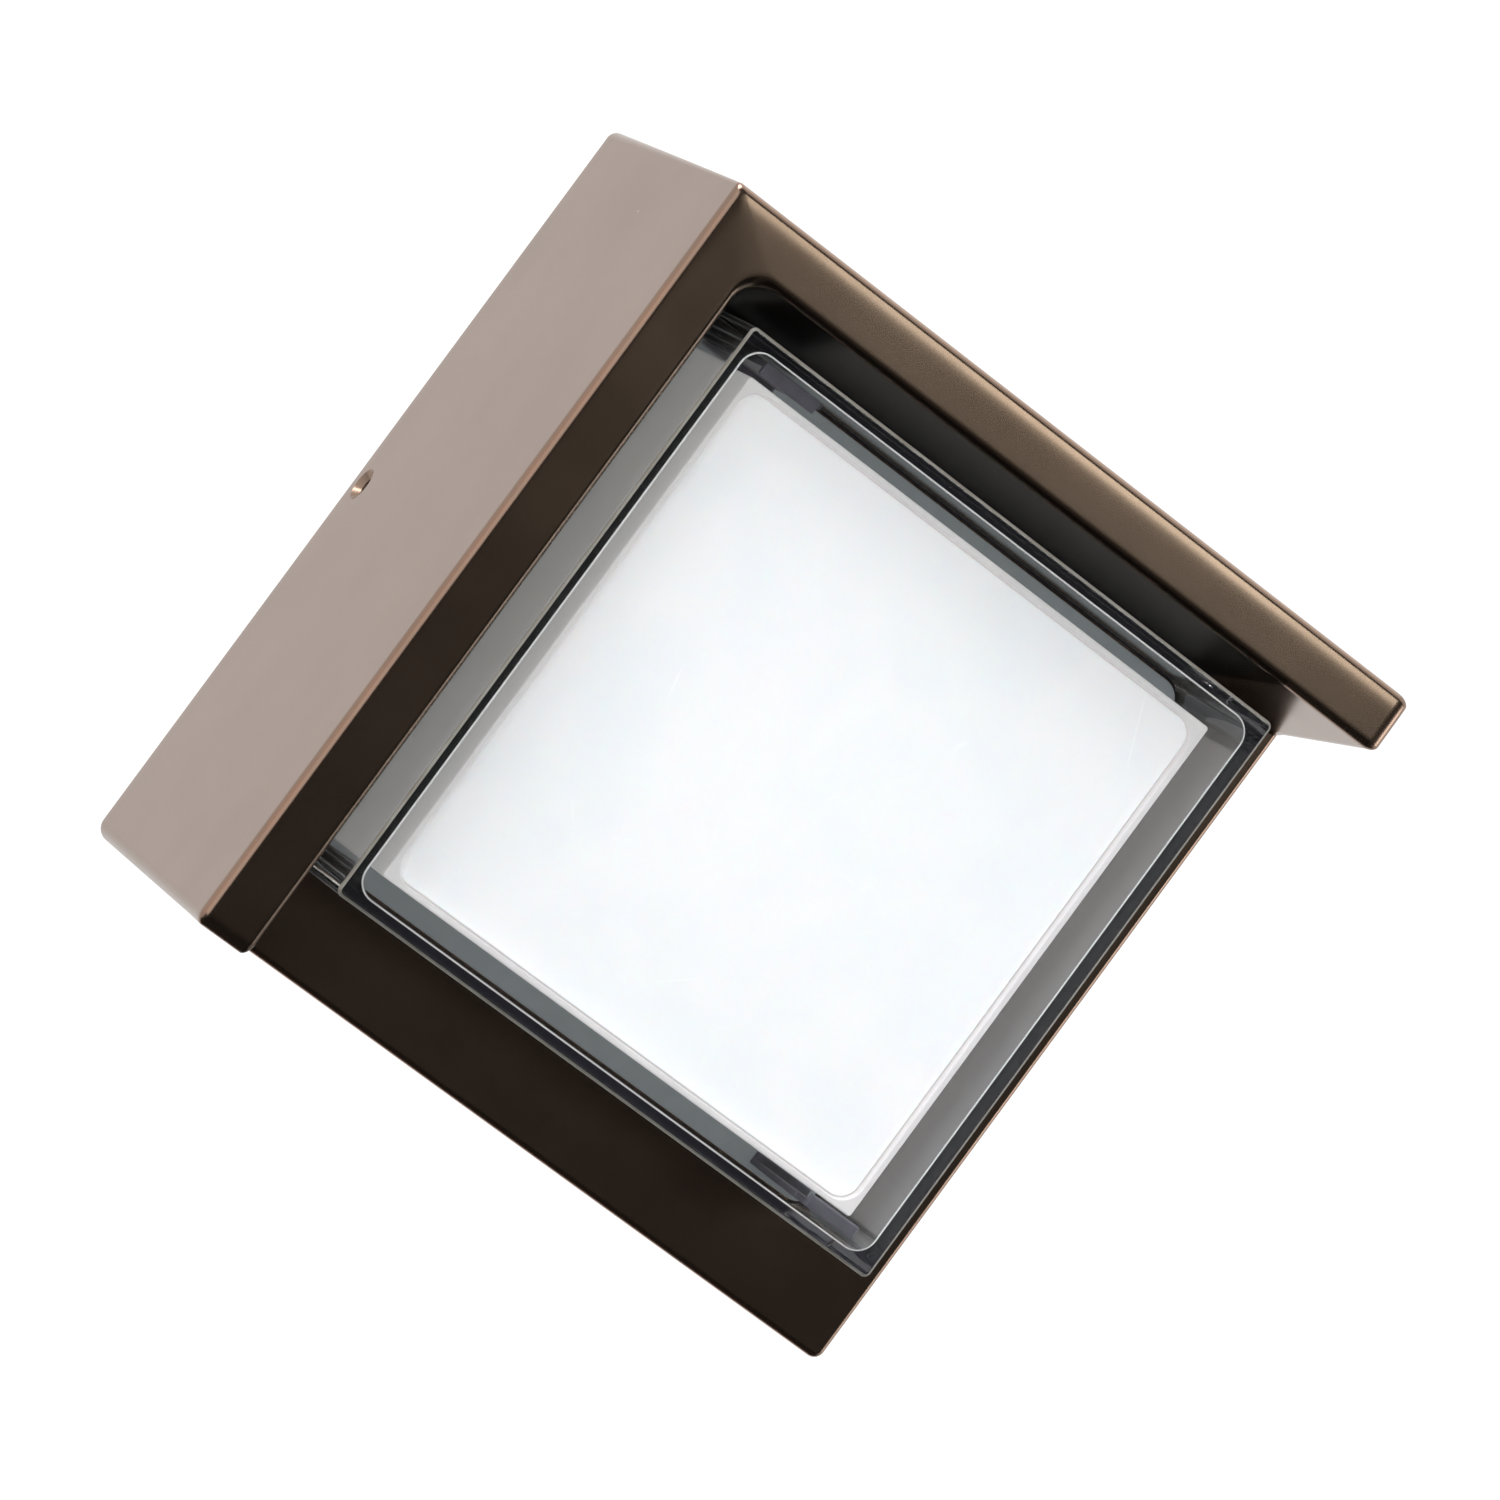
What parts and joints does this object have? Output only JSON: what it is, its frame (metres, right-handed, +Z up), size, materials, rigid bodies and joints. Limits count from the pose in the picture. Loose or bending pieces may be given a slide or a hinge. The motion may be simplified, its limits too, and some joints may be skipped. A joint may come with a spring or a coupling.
{
  "type": "outdoor wall lantern",
  "caption": "Square LED wall lantern: bronze die-cast housing whose left wall and top hood wrap a clear lens box over an opal panel; it pulls off a wall plate after side screws are backed out.",
  "frame": {"origin": "on the wall, at the centre of the wall plate's back face", "axes": "+X right, +Y into the wall, +Z up; the light faces -Y"},
  "size_m": [0.15, 0.08, 0.15],
  "materials": {
    "bronze_coat": "satin metallic powder coat on die-cast aluminium",
    "clear_lens": "clear polycarbonate, polished",
    "opal": "opal acrylic, satin",
    "tray_white": "moulded white plastic",
    "grey_sheet": "mill-finish sheet",
    "board": "white solder mask on aluminium core",
    "pcb_green": "glass-epoxy board with components",
    "zinc_steel": "zinc-plated steel",
    "screw_steel": "plated steel",
    "black_rubber": "matte",
    "grey_silicone": "silicone seal",
    "clip_plastic": "dark grey nylon",
    "driver_plastic": "white flame-retardant plastic",
    "terminal_plastic": "natural nylon",
    "lead_red": "insulated lead",
    "lead_black": "insulated lead",
    "lead_white": "insulated lead",
    "earth_green": "green-dyed zinc plating"
  },
  "bodies": {
    "plate_on_wall": {"wall_plate": "zinc_steel", "supply_bushing": "black_rubber"},
    "light": {"housing": "bronze_coat", "wall_gasket": "black_rubber", "lens_cover": "clear_lens", "lens_gasket": "grey_silicone", "lens_clip_upper": "clip_plastic", "lens_clip_lower": "clip_plastic", "heat_spreader": "grey_sheet", "reflector_tray": "tray_white", "diffuser_panel": "opal", "led_board": "board", "led_screw_1": "screw_steel", "led_screw_2": "screw_steel", "led_screw_3": "screw_steel", "led_screw_4": "screw_steel", "lead_bushing": "black_rubber", "driver_case": "driver_plastic", "driver_lid": "driver_plastic", "driver_board": "pcb_green", "driver_screw_left": "screw_steel", "driver_screw_right": "screw_steel", "terminal_block": "terminal_plastic", "ac_lead_line": "lead_black", "ac_lead_neutral": "lead_white", "dc_lead_positive": "lead_red", "dc_lead_negative": "lead_black", "earth_screw": "earth_green"},
    "screw_left": {"set_screw_left": "screw_steel"},
    "screw_right": {"set_screw_right": "screw_steel"}
  },
  "joints": [
    {"name": "housing_pull_off", "type": "slide", "parent": "plate_on_wall", "child": "light", "axis": [0, -1, 0], "range_m": [0, 0.06]},
    {"name": "set_screw_left_out", "type": "slide", "parent": "light", "child": "screw_left", "axis": [-1, 0, 0], "range_m": [0, 0.004]},
    {"name": "set_screw_right_out", "type": "slide", "parent": "light", "child": "screw_right", "axis": [1, 0, 0], "range_m": [0, 0.004]}
  ]
}
